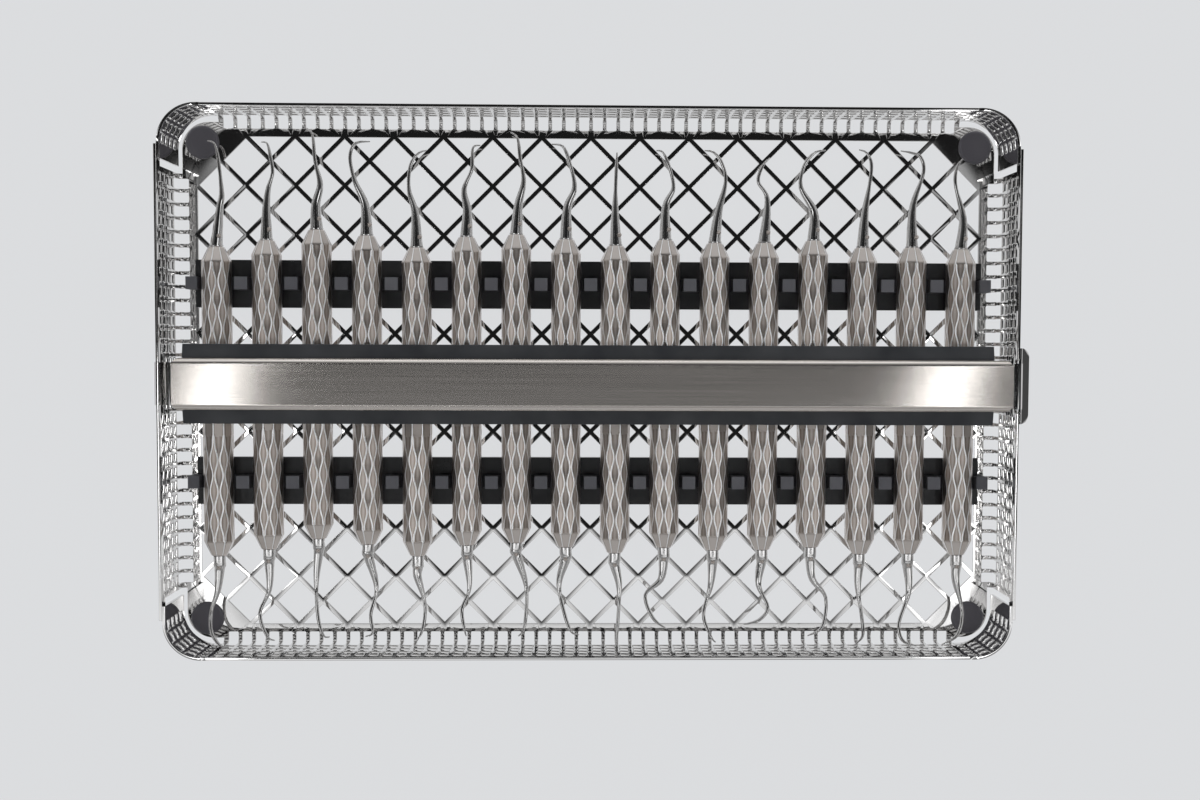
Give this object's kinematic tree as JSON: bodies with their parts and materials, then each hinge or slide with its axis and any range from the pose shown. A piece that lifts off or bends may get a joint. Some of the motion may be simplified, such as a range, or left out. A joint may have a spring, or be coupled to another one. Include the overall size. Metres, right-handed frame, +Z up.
{
  "type": "instrument wash tray",
  "caption": "Shallow lattice tray of sheet steel with slotted walls, silicone racks and feet, and a hinged clamp bar that holds double-ended instruments for washing.",
  "frame": {"origin": "middle of the tray on the surface it stands on", "axes": "+X along the tray from the hinge end to the latch end, +Y across it to the rear wall, +Z up through the open side"},
  "size_m": [0.2865, 0.18, 0.03],
  "materials": {
    "tray_steel": "electropolished",
    "bar_steel": "brushed along the bar",
    "handle_steel": "satin, with polished scallops",
    "tip_steel": "mirror polished",
    "rack_silicone": "moulded, semi-gloss",
    "foot_silicone": "moulded, matte",
    "pad_silicone": "moulded, matte"
  },
  "bodies": {
    "tray": {"base_plate": "tray_steel", "front_wall": "tray_steel", "rear_wall": "tray_steel", "left_wall": "tray_steel", "right_wall": "tray_steel", "front_left_corner": "tray_steel", "front_right_corner": "tray_steel", "rear_left_corner": "tray_steel", "rear_right_corner": "tray_steel", "front_left_foot": "foot_silicone", "front_right_foot": "foot_silicone", "rear_left_foot": "foot_silicone", "rear_right_foot": "foot_silicone", "front_rack": "rack_silicone", "rear_rack": "rack_silicone", "handle_01": "handle_steel", "handle_02": "handle_steel", "handle_03": "handle_steel", "handle_04": "handle_steel", "handle_05": "handle_steel", "handle_06": "handle_steel", "handle_07": "handle_steel", "handle_08": "handle_steel", "handle_09": "handle_steel", "handle_10": "handle_steel", "handle_11": "handle_steel", "handle_12": "handle_steel", "handle_13": "handle_steel", "handle_14": "handle_steel", "handle_15": "handle_steel", "handle_16": "handle_steel", "working_ends_01": "tip_steel", "working_ends_02": "tip_steel", "working_ends_03": "tip_steel", "working_ends_04": "tip_steel", "working_ends_05": "tip_steel", "working_ends_06": "tip_steel", "working_ends_07": "tip_steel", "working_ends_08": "tip_steel", "working_ends_09": "tip_steel", "working_ends_10": "tip_steel", "working_ends_11": "tip_steel", "working_ends_12": "tip_steel", "working_ends_13": "tip_steel", "working_ends_14": "tip_steel", "working_ends_15": "tip_steel", "working_ends_16": "tip_steel"},
    "clamp": {"clamp_bar": "bar_steel", "clamp_pad": "pad_silicone"}
  },
  "joints": [
    {"name": "clamp_hinge", "type": "hinge", "parent": "tray", "child": "clamp", "pos_m": [-0.1395, 0, 0.0279], "axis": [0, -1, 0], "range_deg": [0, 45]}
  ]
}
